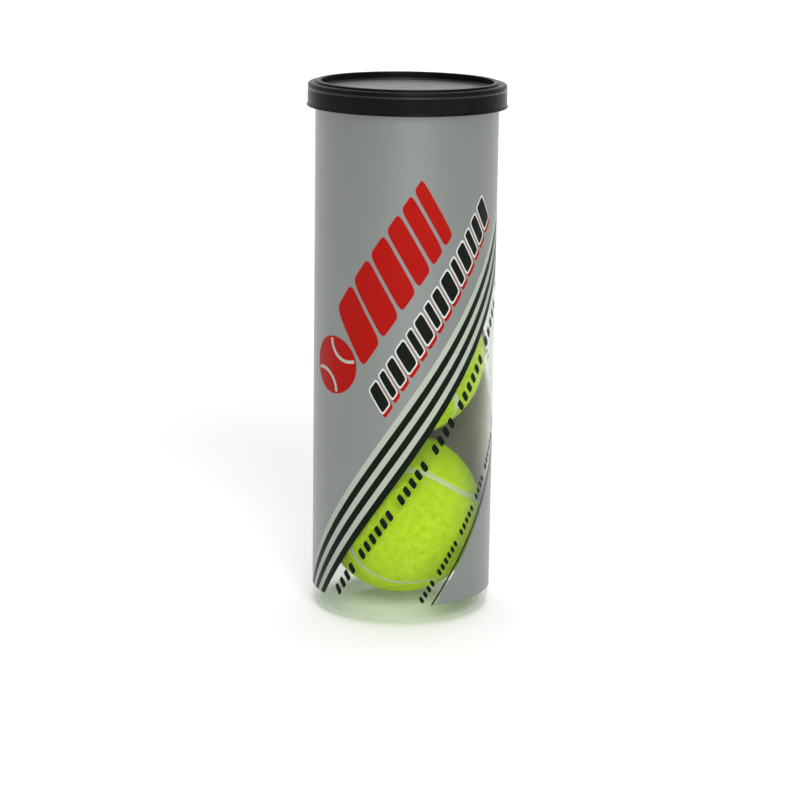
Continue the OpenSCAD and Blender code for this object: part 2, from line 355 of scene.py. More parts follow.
def build_wear_group():
    """Handling marks: fine grain, hair scratches and broad smears, as one height and two masks."""
    group, given, out = shader_group(
        "handling_wear",
        [("Grain Size", 0.4), ("Scratches", 0.5), ("Smears", 0.5)],
        [("Height", "Float"), ("Scratch Mask", "Float"), ("Smear Mask", "Float")],
    )
    place = object_place(group)
    grain = noise(group, place, maths(group, "DIVIDE", 1 / MM, given["Grain Size"]), Detail=3.0,
                  Roughness=0.6)
    stretch = add_node(group, "ShaderNodeMapping", Vector=place, Scale=(900, 900, 35),
                       Rotation=(0.35, 0.15, 0.6))
    hairs = noise(group, stretch.outputs["Vector"], 1.0, Detail=2.0)
    smear = noise(group, place, 45.0, Detail=5.0, Distortion=0.8)
    hair_mask = maths(group, "MULTIPLY", ramp(group, hairs, 0.66, 0.72), given["Scratches"])
    smear_mask = maths(group, "MULTIPLY", ramp(group, smear, 0.42, 0.70), given["Smears"])
    feed(group, maths(group, "MULTIPLY_ADD", hair_mask, -0.6, grain), out["Height"])
    feed(group, hair_mask, out["Scratch Mask"])
    feed(group, smear_mask, out["Smear Mask"])
    return group


def build_nap_group():
    """Felt: tangled fibre noise at three sizes, as a colour from dark roots to pale tips that follows the
    height, painted shade in the nap's hollows and a painted highlight on its tips, and as a height.
    """
    group, given, out = shader_group(
        "felt_nap",
        [("Fibre Size", 0.5), ("Dye", (0.5, 0.8, 0.02)), ("Pale Tips", 0.5)],
        [("Color", "Color"), ("Height", "Float")],
    )
    place = object_place(group)
    fine = noise(group, place, maths(group, "DIVIDE", 1 / MM, given["Fibre Size"]), Detail=4.0,
                 Roughness=0.65, Distortion=1.6)
    clumps = noise(group, place, 420.0, Detail=3.0, Distortion=0.9)
    broad = noise(group, place, 60.0, Detail=2.0)
    tangle = maths(group, "MULTIPLY_ADD", clumps, 0.8, fine)
    # Painted shade and highlight: the colour darkens in the nap's low hollows and pales on its raised tips,
    # along the same noise as the bump
    shaded_root = blend_colours(group, 0.55, given["Dye"], (0.26, 0.38, 0.002))
    lit_tips = blend_colours(group, given["Pale Tips"], given["Dye"], (0.76, 0.98, 0.04))
    body = blend_colours(group, ramp(group, tangle, 0.62, 1.15), shaded_root, lit_tips)
    cast = blend_colours(group, ramp(group, broad, 0.35, 0.7), (0.93, 0.97, 0.9), (1, 1, 1))
    feed(group, blend_colours(group, 1.0, body, cast, "MULTIPLY"), out["Color"])
    feed(group, tangle, out["Height"])
    return group


def place_group(tree, name, build, **values):
    """Places a shared shader group in a material, built the first time, with the material's own values."""
    return add_node(tree, "ShaderNodeGroup", node_tree=bpy.data.node_groups.get(name) or build(),
                    **values).outputs


def new_material(name, **plain):
    """A material with one Principled shader; plain values are set on the shader's own sockets."""
    material = bpy.data.materials.new(name)
    material.use_nodes = True
    tree = material.node_tree
    shader = tree.nodes["Principled BSDF"]
    for key, value in plain.items():
        feed(tree, value, shader.inputs[key.replace("_", " ")])
    return material, tree, shader


def add_bump(tree, shader, height, strength, distance):
    lumps = add_node(tree, "ShaderNodeBump", Strength=strength, Distance=distance, Height=height)
    feed(tree, lumps.outputs["Normal"], shader.inputs["Normal"])


def worn_material(name, base, low, high, grain=0.4, bump=0.1, scratches=0.5, smears=0.5, dust=0.04, **plain):
    """Smooth finish with handling marks: roughness runs from low to high, and marks pale the colour."""
    material, tree, shader = new_material(name, **plain)
    wear = place_group(tree, "handling_wear", build_wear_group, Grain_Size=grain, Scratches=scratches,
                       Smears=smears)
    marks = maths(tree, "MAXIMUM", wear["Scratch Mask"], wear["Smear Mask"])
    pale = tuple(min(1.0, c + dust) for c in base)
    feed(tree, blend_colours(tree, marks, base, pale), shader.inputs["Base Color"])
    feed(tree, maths(tree, "MULTIPLY_ADD", marks, high - low, low), shader.inputs["Roughness"])
    add_bump(tree, shader, wear["Height"], bump, 0.1 * MM)
    return material


def clear_material(name, tint, haze, gloss):
    """Thin clear plastic: a see-through shader, and over it a gloss that grows towards the edges."""
    material, tree, shader = new_material(name, Base_Color=tint, Roughness=gloss, IOR=1.57)
    wear = place_group(tree, "handling_wear", build_wear_group)
    feed(tree, maths(tree, "MULTIPLY_ADD", wear["Smear Mask"], 0.12, gloss), shader.inputs["Roughness"])
    edge = add_node(tree, "ShaderNodeLayerWeight", Blend=0.5).outputs["Facing"]
    share = maths(tree, "MULTIPLY", maths(tree, "POWER", edge, 4.0), 0.55)
    share = maths(tree, "MULTIPLY_ADD", wear["Scratch Mask"], 0.03, share)
    through = add_node(tree, "ShaderNodeBsdfTransparent", Color=tint)
    mix = add_node(tree, "ShaderNodeMixShader", Fac=maths(tree, "ADD", share, haze))
    tree.links.new(through.outputs[0], mix.inputs[1])
    tree.links.new(shader.outputs[0], mix.inputs[2])
    tree.links.new(mix.outputs[0], tree.nodes["Material Output"].inputs["Surface"])
    return material


# ---------- can ----------

def can_profile(can):
    """Section of the blown can from the axis under the base, up the wall, over the flange and back inside.

    The base is a cosine dome, rise * (1 + cos(pi r / ring)) / 2, that runs out at the standing ring; the
    heel is a quarter circle, and the flange at the top is curled outwards and down.
    """
    ring = can.outer - can.heel - can.stand
    r = np.linspace(0, ring, 40)
    dome = np.stack([r, can.base_rise * (1 + np.cos(math.pi * r / ring)) / 2], -1)
    t = np.linspace(-math.pi / 2, 0, 14)

    def heel(radius):
        return np.stack([can.outer - can.heel + radius * np.cos(t), can.heel + radius * np.sin(t)], -1)

    flange = half_width("can_body")
    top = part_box("can_body")[1].z
    lap_low = top - 1.55 * MM
    rise = np.linspace(can.heel * 1.2, top - 3 * MM, 24)
    up = np.stack([np.full(24, can.outer), rise], -1)
    curl = rounded([
        (can.outer, top - 2 * MM, 0), (can.outer, top - can.wall, 0.05 * MM),
        (flange - can.wall, top - can.wall, 0.05 * MM), (flange - can.wall, lap_low, 0.1 * MM),
        (flange, lap_low, 0.1 * MM), (flange, top, can.wall),
        (can.outer - can.wall, top, can.wall), (can.outer - can.wall, top - 2 * MM, 0),
    ])
    return np.concatenate([
        dome, heel(can.heel), up, curl, (up - [can.wall, 0])[::-1], heel(can.heel - can.wall)[::-1],
        (dome + [0, can.wall])[::-1],
    ])


class BALLCAN_OT_clear_can(bpy.types.Operator):
    """Builds the clear plastic can and the moulding point under its base"""
    bl_idname = "ball_can.clear_can"
    bl_label = "Clear Can"

    def execute(self, context):
        can = context.scene.ball_can_body
        plastic = clear_material("clear_plastic", can.tint, 0.006, 0.04)
        body = turned(can_profile(can), can.turns)
        low = can.base_rise - 0.8 * MM
        nub = turned(rounded([
            (0, low, 0), (2.2 * MM, low, 0.3 * MM), (3 * MM, can.base_rise, 0.2 * MM),
            (3 * MM, can.base_rise + can.wall / 2, 0), (0, can.base_rise + can.wall / 2, 0),
        ]), 48)
        points, faces = join_parts([body, nub])
        piece = new_piece("clear_can", points, faces, "can", "clear_plastic", plastic)
        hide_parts("can_body")
        return {"FINISHED"}


# ---------- label ----------

# Lower and upper face of each layer of ink, in millimetres above the film
LAYERS = {
    "reverse": (0.003, 0.009), "silver": (0.016, 0.03), "stripes": (0.01, 0.03),
    "first": (0.04, 0.07), "second": (0.06, 0.09), "third": (0.08, 0.11),
}
# Print sizes: along the stripes, except for heights, which are across them
BALL_GAP, BAR_GAP = 2.8 * MM, 1.5 * MM
BAR_WIDTHS = np.linspace(13.1, 5.9, 6) * MM
BAR_LEAN = 0.48
# Arcs of the emblem's seams: centre's distance from the ball's, radius, half angle and width
ARC_OFF, ARC_R, ARC_SPREAD, ARC_WIDTH = 13.5 * MM, 9 * MM, 0.93, 1.3 * MM
MARK_WIDTHS = np.resize([5.0, 3.2, 4.2, 5.6, 3.2], 14) * MM
MARK_HEIGHT, MARK_GAP, MARK_LEAN = 9.6 * MM, 2.3 * MM, 0.45
# Where the row of marks starts, along and across, and how it drifts across on the way up
MARK_START, MARK_DRIFT = (-4 * MM, -10.6 * MM), -0.03
# Dashes printed, 1, and left out, 0, over and over
DASH_PATTERN = np.array([1, 1, 1, 1, 0, 1, 1, 1, 1, 1, 1, 0, 1, 1, 1, 1, 1, 0], bool)
SHARP_CORNER = 7.0
# Upper and lower face of the glued lap, above the film
LAP_LIFTS = (0.14 * MM, 0.09 * MM)


def film_radius(scene):
    """Outer radius of the label film."""
    return scene.ball_can_body.outer + scene.ball_can_label.gap + scene.ball_can_label.film


def on_label(scene, along, across, lift, half_turn=0):
    """Wraps label places onto the can.

    along runs up the stripes and across runs square to them, towards the window. They turn into a
    distance round the can, s = along sin(slant) + across cos(slant), and a height, z = datum + along
    cos(slant) - across sin(slant); then the point is (r sin(s / R), -r cos(s / R), z).
    """
    label = scene.ball_can_label
    size = film_radius(scene)
    s = along * math.sin(label.slant) + across * math.cos(label.slant)
    z = label.datum + along * math.cos(label.slant) - across * math.sin(label.slant)
    return round_axis(size + lift, s / size + half_turn * math.pi, z)


def along_at(label, z, across):
    """How far up the stripes a height lies, at a place across them."""
    return (z - label.datum + across * math.sin(label.slant)) / math.cos(label.slant)


def label_ends():
    """Heights of the print's lower and upper edges, a little inside the film's."""
    low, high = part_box("label")
    return low.z + 0.4 * MM, high.z - 0.1 * MM


def ink_slab(scene, along, across, layer, half_turn=0, ring=False):
    """Slab of ink over a grid of label places, between its layer's two heights above the film."""
    low, high = (on_label(scene, along, across, lift * MM, half_turn) for lift in LAYERS[layer])
    return thick_sheet(high, low, ring)


def label_strip(scene, first, last, layer, steps):
    """Stripe of ink between two places across, cut level at the label's lower and upper edges."""
    across = np.linspace(first, last, steps)[None, :]
    z = np.linspace(*label_ends(), 190)[:, None]
    return ink_slab(scene, along_at(scene.ball_can_label, z, across), across, layer)


def label_block(scene, place, size, lean, corner, layer, grid, half_turn=0):
    """Slanted ink block with round corners: a superellipse |x|^n + |y|^n = 1 of power corner, leaned over.

    The grid counts the rings from the middle to the outline, and the steps round each.
    """
    share = np.linspace(0, 1, grid[0])[:, None]
    turn = np.linspace(0, TURN, grid[1], endpoint=False)[None, :]
    c, s = np.cos(turn), np.sin(turn)
    reach = share * (np.abs(c) ** corner + np.abs(s) ** corner) ** (-1 / corner)
    x, y = reach * c * size[0] / 2, reach * s * size[1] / 2
    return ink_slab(scene, place[0] + x - lean * y, place[1] + y, layer, half_turn, True)


def label_arc(scene, centre, radius, middle, spread, width, layer, half_turn=0):
    """Band of ink of one width along an arc, as on a ball's seam, a spread to each side of its middle.

    Both angles are on the label, in radians.
    """
    turn = np.linspace(middle - spread, middle + spread, 40)[:, None]
    reach = radius + np.linspace(-width / 2, width / 2, 4)[None, :]
    along, across = centre[0] + reach * np.cos(turn), centre[1] + reach * np.sin(turn)
    return ink_slab(scene, along, across, layer, half_turn)


def stripe_runs(label):
    """Sides of the six stripes from the silver ground to the window, pale and dark in turn, then of the
    fine line on the window's far side; and that side's place across."""
    edges = np.cumsum([0] + [label.pale_stripe, label.dark_stripe] * 3)
    far = edges[-1] + label.window
    return list(zip(edges[:-1], edges[1:])) + [(far - label.fine_line - MM, far - MM)], far


class BALLCAN_OT_label_film(bpy.types.Operator):
    """Builds the clear film of the wrap label and its glued lap"""
    bl_idname = "ball_can.label_film"
    bl_label = "Label Film"

    def execute(self, context):
        scene = context.scene
        label, can = scene.ball_can_label, scene.ball_can_body
        film = clear_material("label_film", (0.985, 0.99, 0.985), 0.002, 0.05)
        size = film_radius(scene)
        low, high = (corner.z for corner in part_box("label"))
        inner = size - label.film
        sleeve = turned([(size, low), (size, high), (inner, high), (inner, low)], can.turns, True)
        half = label.lap / 2 / size
        t = np.linspace(math.pi - half, math.pi + half, 16)[None, :]
        z = np.linspace(low, high, 24)[:, None]
        lap = thick_sheet(*(round_axis(size + lift, t, z) for lift in LAP_LIFTS))
        piece = new_piece("wrap_label_film", *join_parts([sleeve, lap]), "can", "label_print", film)
        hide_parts("label")
        return {"FINISHED"}


class BALLCAN_OT_label_print(bpy.types.Operator):
    """Builds the label's inks: silver ground, stripes, emblem, marks and dashes"""
    bl_idname = "ball_can.label_print"
    bl_label = "Label Print"

    def execute(self, context):
        scene = context.scene
        label = scene.ball_can_label
        inks = self.inks(label)
        runs, far = stripe_runs(label)
        around = TURN * film_radius(scene) * math.cos(label.slant)
        ground = self.ink("ink_silver", inks["silver"], [label_strip(scene, far - around, 0, "silver", 200)])
        self.line_inside(scene, ground)
        for name, tone, sides in (("ink_pale_stripes", "pale", runs[0:6:2]),
                                  ("ink_dark_stripes", "black", runs[1:6:2] + runs[6:])):
            self.ink(name, inks[tone], [label_strip(scene, a, b, "stripes", 5) for a, b in sides])
        self.ink("ink_emblem", inks["red"], self.emblem(scene, "first"))
        self.ink("ink_emblem_seams", inks["pale"], self.emblem_seams(scene))
        for name, tone, grow, shift, layer in (
            ("ink_marks_shadow", "red", 1.3 * MM, 1.4 * MM, "first"),
            ("ink_marks_outline", "white", 1.2 * MM, 0.0, "second"),
            ("ink_marks", "black", 0.0, 0.0, "third"),
        ):
            self.ink(name, inks[tone], self.marks(scene, grow, shift, layer))
        self.ink("ink_dashes", inks["black"], self.dashes(scene, runs))
        return {"FINISHED"}

    def inks(self, label):
        """One material for each ink; the silver is a metallic ground and the others are satin."""
        inks = {"silver": worn_material("silver_ink", label.silver, 0.34, 0.42, grain=0.12, bump=0.08,
                                        dust=0.02, scratches=0.3, smears=0.35, Metallic=0.75)}
        for name in ("pale", "black", "red", "white"):
            inks[name] = worn_material(f"{name}_ink", getattr(label, name), 0.36, 0.48, grain=0.2, bump=0.05,
                                       dust=0.006, Specular_IOR_Level=0.08)
        return inks

    def ink(self, name, material, parts):
        return new_piece(name, *join_parts(parts), "can", "label_print", material, sharp=50)

    def line_inside(self, scene, ground):
        """Pale reverse on the faces of the silver that look inwards, partly the ink's own back and partly
        painted light shining through the label from behind, and the back emblem showing through.

        A face looks inwards where its normal times its centre, both level, falls below minus half the radius.
        """
        label = scene.ball_can_label
        # The reverse tone is partly painted light: the label lit through from behind
        reverse, ghost = (
            worn_material(name, tint, 0.7, 0.85, grain=0.2, bump=0.05, dust=dust, Specular_IOR_Level=0.1)
            for name, tint, dust in (("reverse_ink_and_backlight", label.reverse, -0.04),
                                     ("reverse_red", label.ghost, 0.05)))
        mesh = ground.data
        mesh.materials.append(reverse)
        level = np.empty((2, len(mesh.polygons), 3))
        mesh.polygons.foreach_get("normal", level[0].ravel())
        mesh.polygons.foreach_get("center", level[1].ravel())
        outward = (level[0] * level[1])[:, :2].sum(1)
        mesh.polygons.foreach_set("material_index", (outward < -0.5 * film_radius(scene)).astype(np.int32))
        self.ink("ink_emblem_reverse", ghost, self.emblem(scene, "reverse"))

    def emblem(self, scene, layer):
        """A ball with six leaning bars behind it, printed on the front and again on the back.

        Each bar is narrower than the one before, and a fixed gap of silver parts it from its neighbour.
        """
        label = scene.ball_can_label
        start, middle, tall = label.emblem_start, label.emblem_place, label.emblem_size
        ends = start + tall / 2 + BALL_GAP + np.cumsum(BAR_WIDTHS + BAR_GAP) - BAR_GAP
        blocks = [((start, middle), (tall, tall), 0, 2.0)]
        blocks += [((end - wide / 2, middle), (wide, tall), BAR_LEAN, SHARP_CORNER)
                   for end, wide in zip(ends, BAR_WIDTHS)]
        return [label_block(scene, *block, layer, (12, 96), half_turn)
                for half_turn in (0, 1) for block in blocks]

    def emblem_seams(self, scene):
        """The two seam curves on the emblem's ball: arcs whose centres lie outside it."""
        label = scene.ball_can_label
        return [label_arc(scene, (label.emblem_start + side * ARC_OFF, label.emblem_place), ARC_R,
                          math.pi * (side + 1) / 2, ARC_SPREAD, ARC_WIDTH, "second", half_turn)
                for half_turn in (0, 1) for side in (-1, 1)]

    def marks(self, scene, grow, shift, layer):
        """A row of leaning slashes of several widths beside the stripes, each grown and shifted alike."""
        ends = MARK_START[0] + np.cumsum(MARK_WIDTHS + MARK_GAP) - MARK_GAP
        blocks = [((end - wide / 2 - 0.3 * shift, MARK_START[1] + MARK_DRIFT * (end - wide) + shift),
                   (wide + grow, MARK_HEIGHT + grow)) for end, wide in zip(ends, MARK_WIDTHS)]
        return [label_block(scene, *block, MARK_LEAN, SHARP_CORNER, layer, (9, 64), half_turn)
                for half_turn in (0, 1) for block in blocks]

    def dashes(self, scene, runs):
        """Broken line of short leaning dashes down each side of the window."""
        label = scene.ball_can_label
        bottom, top = label_ends()
        near, far = runs[5][1], runs[6][0]
        parts = []
        for across, size in ((near + 5.4 * MM, 4.0 * MM), (far - 4.6 * MM, 2.6 * MM)):
            low, high = along_at(label, bottom + size, across), along_at(label, top - size, across)
            places = np.arange(low, high, size * 1.02)
            for along in places[np.resize(DASH_PATTERN, len(places))]:
                parts.append(label_block(scene, (along, across), (size * 0.62, size), 0.35, 4.0, "stripes",
                                         (4, 28)))
        return parts


# ---------- metal end ----------

class BALLCAN_OT_metal_end(bpy.types.Operator):
    """Builds the double seam with its chuck wall, and the tear panel with its bead, well and rivet"""
    bl_idname = "ball_can.metal_end"
    bl_label = "Metal End"

    def execute(self, context):
        scene = context.scene
        end = scene.ball_can_end
        metal = worn_material("end_metal", end.metal, 0.22, 0.38, grain=0.15, bump=0.08, dust=-0.05,
                              scratches=0.8, smears=0.4, Metallic=1.0)
        piece = new_piece("double_seam", *turned(self.seam_section(end), scene.ball_can_body.turns, True),
                          "can", "end_metal", metal, sharp=40)
        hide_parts("seam_ring")
        panel = new_piece("tear_panel_sheet", *join_parts([self.panel(end), self.rivet()]),
                          "end_panel", "end_metal", metal, sharp=40)
        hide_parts("tear_panel")
        compound = worn_material("sealing_compound", (0.30, 0.30, 0.28), 0.7, 0.85, grain=0.5, bump=0.3)
        assign("seam_gasket", compound)
        return {"FINISHED"}

    def seam_section(self, end):
        """Closed outline of the ring: seaming wall, top, chuck wall, countersink and the panel's ledge."""
        low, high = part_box("seam_ring")
        r, t = half_width("seam_ring"), end.sheet
        opening = half_width("tear_panel") + 0.05 * MM
        chuck = half_width("can_body") - 1.45 * MM
        seam_low = high.z - 3 * MM
        foot = chuck - 0.45 * MM
        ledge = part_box("tear_panel")[0].z + end.well_drop
        return rounded([
            (r, seam_low, 0.35 * MM), (r, high.z, 0.8 * MM), (chuck - t, high.z, 0.8 * MM),
            (chuck - t, seam_low, 0.5 * MM), (foot - t, low.z + t, 0.12 * MM),
            (opening + t, low.z + t, 0.12 * MM), (opening + t, ledge + t, 0.14 * MM),
            (opening, ledge + t, 0.05 * MM), (opening, ledge, 0.05 * MM),
            (opening, low.z, 0.4 * MM), (foot, low.z, 0.4 * MM), (chuck, seam_low, 0.5 * MM),
            (chuck, high.z - t, 0.5 * MM), (r - t, high.z - t, 0.5 * MM), (r - t, seam_low + t, 0.1 * MM),
            (r - 3 * t, seam_low + t, 0.05 * MM), (r - 3 * t, high.z - 5 * t, 0.05 * MM),
            (r - 4 * t, high.z - 5 * t, 0.05 * MM), (r - 4 * t, seam_low, 0.25 * MM),
        ], True)

    def panel(self, end):
        """Round sheet whose height is the sum of a pressed bead, a well and a shallow raised arc on the back
        half.

        With q the distance from a feature's centre line, each feature is its depth times a smooth step
        that falls from 1 to 0 over its flank.
        """
        size = half_width("tear_panel")
        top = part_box("tear_panel")[0].z + end.well_drop + end.sheet
        well_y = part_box("pull_tab")[1].y - 6.75 * MM
        well_r, arc_r, bead_r = 8 * MM, 21 * MM, size - 3.25 * MM
        fine = size - 6 * MM
        r = np.concatenate([np.linspace(0, fine, 90), np.linspace(fine + 0.1 * MM, size, 60)])[:, None]
        t = np.linspace(0, TURN, 200, endpoint=False)[None, :]
        x, y = r * np.sin(t), -r * np.cos(t)

        def step(q, flank):
            s = np.clip(q / flank + 0.5, 0, 1)
            return s * s * (3 - 2 * s)

        bead = step(0.75 * MM - np.abs(r - bead_r), 0.6 * MM)
        well = step(well_r - np.hypot(x, y - well_y), 1.2 * MM)
        arc = step(0.9 * MM - np.abs(r - arc_r), 1.0 * MM) * step(y - 2 * MM, 4 * MM)
        height = top - end.bead_drop * bead - end.well_drop * well + 0.25 * MM * arc
        outer = np.stack([x, y, height], -1)
        return thick_sheet(outer, outer - [0, 0, end.sheet], True)

    def rivet(self):
        """Button rivet: a stem with a rounded head, turned round its own axis."""
        low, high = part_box("tab_rivet_island")
        centre = (low + high) / 2
        foot, top = low.z - 0.35 * MM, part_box("tear_panel")[1].z
        stem, head, dimple = 1.6 * MM, 2.6 * MM, 1.3 * MM
        points, faces = turned(rounded([
            (0, foot, 0), (stem, foot, 0), (stem, high.z, 0), (head, high.z, 0.1 * MM), (head, top, 0.3 * MM),
            (dimple, top, 0.2 * MM), (dimple - 0.2 * MM, top - 0.15 * MM, 0.2 * MM), (0, top - 0.15 * MM, 0),
        ]), 48)
        return points + [centre.x, centre.y, 0], faces


def assign(node, material):
    """Gives a CAD node's object one material."""
    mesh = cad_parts[node].data
    mesh.materials.clear()
    mesh.materials.append(material)


# Radius of the tab's curled edge, and of its round nose
CURL_R, NOSE_R = 0.7 * MM, 6.2 * MM
# Width of the frame round the finger hole, of the bridge in front of it and of the slot round the tongue
FRAME_W, BRIDGE_W, SLOT_W = 2.3 * MM, 2.6 * MM, 0.35 * MM
# How far the tab's web is dished, and half its thickness
WEB_DISH, WEB_HALF = 0.22 * MM, 0.25 * MM


class BALLCAN_OT_pull_tab(bpy.types.Operator):
    """Builds the pull tab from rolled edges and a pressed web, and the tongue under the rivet"""
    bl_idname = "ball_can.pull_tab"
    bl_label = "Pull Tab"

    def execute(self, context):
        end = context.scene.ball_can_end
        metal = worn_material("tab_metal", end.tab_metal, 0.18, 0.32, grain=0.12, bump=0.06, dust=-0.06,
                              scratches=0.8, smears=0.3, Metallic=1.0)
        self.low, self.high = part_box("pull_tab")
        tongue_low, tongue_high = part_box("tab_rivet_island")
        middle = (self.low.z + self.high.z) / 2
        rivet_y = (tongue_low.y + tongue_high.y) / 2
        tongue_r = (tongue_high.y - tongue_low.y) / 2
        divide = rivet_y + tongue_r + 1.45 * MM
        hole_front = rivet_y + tongue_r + BRIDGE_W
        hole = (0, (hole_front + self.high.y - FRAME_W) / 2)
        turn = np.linspace(0, TURN, 120, endpoint=False)
        rim = self.outline(CURL_R)
        hole_rim = self.reach_ring(hole, turn, self.outline(FRAME_W), hole_front, 1)
        slot_r = tongue_r + SLOT_W
        slot_rim = np.stack([slot_r * np.cos(turn), rivet_y + slot_r * np.sin(turn)], -1)
        parts = [tube_along(np.insert(path, 2, middle, 1), radius, steps)
                 for path, radius, steps in ((rim, CURL_R, 16), (hole_rim, 0.42 * MM, 12))]
        for centre, inner, side in ((hole, hole_rim, 1), ((0, rivet_y), slot_rim, -1)):
            outer = self.reach_ring(centre, turn, rim, divide, side)
            parts.append(self.web(outer, inner, middle))
        piece = new_piece("curled_tab", *join_parts(parts), "tab", "tab_metal", metal, sharp=50)
        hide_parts("pull_tab")
        bore = 1.62 * MM
        disc, faces = turned(rounded([
            (bore, tongue_low.z, 0), (tongue_r, tongue_low.z, 0.12 * MM),
            (tongue_r, tongue_high.z, 0.12 * MM), (bore, tongue_high.z, 0),
        ], True), 64, True)
        tongue = new_piece("rivet_tongue", disc + [0, rivet_y, 0], faces, "end_panel", "tab_metal", metal)
        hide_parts("tab_rivet_island")
        return {"FINISHED"}

    def outline(self, inset):
        """Tab outline inset from its edge: a round finger end and a smaller round nose, joined straight."""
        t = np.linspace(0, math.pi, 40)
        arc = np.stack([np.cos(t), np.sin(t)], -1)
        wide = (self.high.x - self.low.x) / 2
        return np.concatenate([[0, self.high.y - wide] + (wide - inset) * arc,
                               [0, self.low.y + NOSE_R] - (NOSE_R - inset) * arc])

    def reach_ring(self, centre, turn, outline, divide, side):
        """Points where rays from centre meet a convex outline or a dividing line, whichever is nearer."""
        edge = np.roll(outline, -1, 0) - outline
        normal = np.stack([edge[:, 1], -edge[:, 0]], -1)
        ray = np.stack([np.cos(turn), np.sin(turn)], -1)
        lean = ray @ normal.T
        room = ((outline - centre) * normal).sum(1)
        reach = np.where(lean > TINY, room / np.where(lean > TINY, lean, 1), 1.0).min(1)
        toward = -side * ray[:, 1]
        cut = np.where(toward > TINY, side * (centre[1] - divide) / np.where(toward > TINY, toward, 1), 1.0)
        return centre + np.minimum(reach, cut)[:, None] * ray

    def web(self, outer, inner, middle):
        """Pressed web between two closed outlines, dished by a half sine between them."""
        share = np.linspace(0, 1, 9)[:, None]
        x, y = inner.T[:, None] * (1 - share) + outer.T[:, None] * share
        z = middle + WEB_DISH * np.sin(math.pi * share) + 0 * x
        return thick_sheet(np.stack([x, y, z + WEB_HALF], -1), np.stack([x, y, z - WEB_HALF], -1), True)


# ---------- overcap ----------

class BALLCAN_OT_overcap(bpy.types.Operator):
    """Builds the black overcap: skirt with its lip and bead, raised rim, groove and recessed disc"""
    bl_idname = "ball_can.overcap"
    bl_label = "Overcap"

    def execute(self, context):
        scene = context.scene
        cap = scene.ball_can_cap
        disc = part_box("overcap")[1].z - cap.recess
        shell = turned(self.section(cap), scene.ball_can_body.turns + 48)
        pip, faces = turned(rounded([
            (0.95 * MM, disc - 0.1 * MM, 0), (0.75 * MM, disc + 0.15 * MM, 0.2 * MM),
            (0.6 * MM, disc + 0.3 * MM, 0.15 * MM), (0, disc + 0.3 * MM, 0),
        ]), 24)
        pip_place = [0, 31.1 * MM, 0]
        piece = new_piece("cap_shell", *join_parts([shell, (pip + pip_place, faces)]), "cap", "cap_plastic",
                          self.plastic(cap, disc), sharp=45)
        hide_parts("overcap")
        return {"FINISHED"}

    def plastic(self, cap, disc):
        """Black plastic with slightly dusty handling marks all over, and a polished coat on the recessed disc
        alone.
        """
        material = worn_material("cap_plastic", cap.plastic, 0.26, 0.42, grain=0.35, bump=0.10, dust=0.008,
                                 scratches=0.4, smears=0.5, Specular_IOR_Level=0.07, Coat_Roughness=0.42)
        tree = material.node_tree
        height = add_node(tree, "ShaderNodeSeparateXYZ", Vector=object_place(tree)).outputs["Z"]
        mask = maths(tree, "MULTIPLY", ramp(tree, height, disc + 0.4 * MM, disc + 0.1 * MM),
                     ramp(tree, height, disc - 0.6 * MM, disc - 0.4 * MM))
        feed(tree, maths(tree, "MULTIPLY", mask, 0.95),
             tree.nodes["Principled BSDF"].inputs["Coat Weight"])
        return material

    def section(self, cap):
        """Half section from the disc's underside out along the plug, skirt, shoulder and rim to its top."""
        low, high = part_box("overcap")
        lip = half_width("overcap")
        skirt = lip - 0.4 * MM
        inner = skirt - cap.wall
        shoulder = high.z - cap.rim
        disc = high.z - cap.recess
        plug = half_width("tear_panel") + 1.4 * MM
        well = plug - 0.9 * MM
        rim = well + 2.1 * MM
        bead = low.z + 4.15 * MM
        under, roof = disc - 1.1 * MM, shoulder - cap.wall
        return rounded([
            (0, under, 0), (3 * MM, under, 0), (plug, under, 0.3 * MM),
            (plug, roof, 0.4 * MM), (inner, roof, 0.5 * MM),
            (inner, bead + 0.9 * MM, 0.3 * MM), (inner - 0.5 * MM, bead, 0.35 * MM),
            (inner, bead - 0.9 * MM, 0.3 * MM), (inner, low.z + 0.3 * MM, 0.1 * MM),
            (inner + 0.3 * MM, low.z, 0.1 * MM), (lip, low.z, 0.22 * MM),
            (lip, low.z + 0.55 * MM, 0.25 * MM), (skirt + 0.05 * MM, low.z + 1.1 * MM, 0.3 * MM),
            (skirt, shoulder, 1.0 * MM), (rim + 0.45 * MM, shoulder, 0.15 * MM),
            (rim + 0.22 * MM, shoulder - 0.25 * MM, 0.08 * MM), (rim, shoulder, 0.08 * MM),
            (rim, high.z, 0.4 * MM), (well, high.z, 0.4 * MM), (well, disc, 0.35 * MM),
            (well - 1.2 * MM, disc, 0.1 * MM), (12 * MM, disc, 0.1 * MM),
            (3.2 * MM, disc, 0.1 * MM), (3.0 * MM, disc - 0.12 * MM, 0.05 * MM),
            (2.8 * MM, disc, 0.1 * MM), (0, disc, 0),
        ], steps=7)


# ---------- balls ----------

# Radius of the felt's edge beside the seam, how deep its mean surface lies, and its gap to the core
EDGE_R, FELT_SINK, CORE_GAP = 1.1 * MM, 0.12 * MM, 0.02 * MM
# Height and size of the felt's lumps, and what each adds to the panel's seed
FELT_LUMPS = ((0.10 * MM, 9 * MM, 0), (0.07 * MM, 2.6 * MM, 5))
# Depth of a fibre's foot under the ball's radius, and half the fibre's width
FIBRE_ROOT, FIBRE_HALF = 0.45 * MM, 0.045 * MM
# Depth of the seam's edges, height of its crown over them, and how far it reaches under the felt
SEAM_SINK, SEAM_CROWN, SEAM_LAP = 0.75 * MM, 0.28 * MM, 0.25 * MM


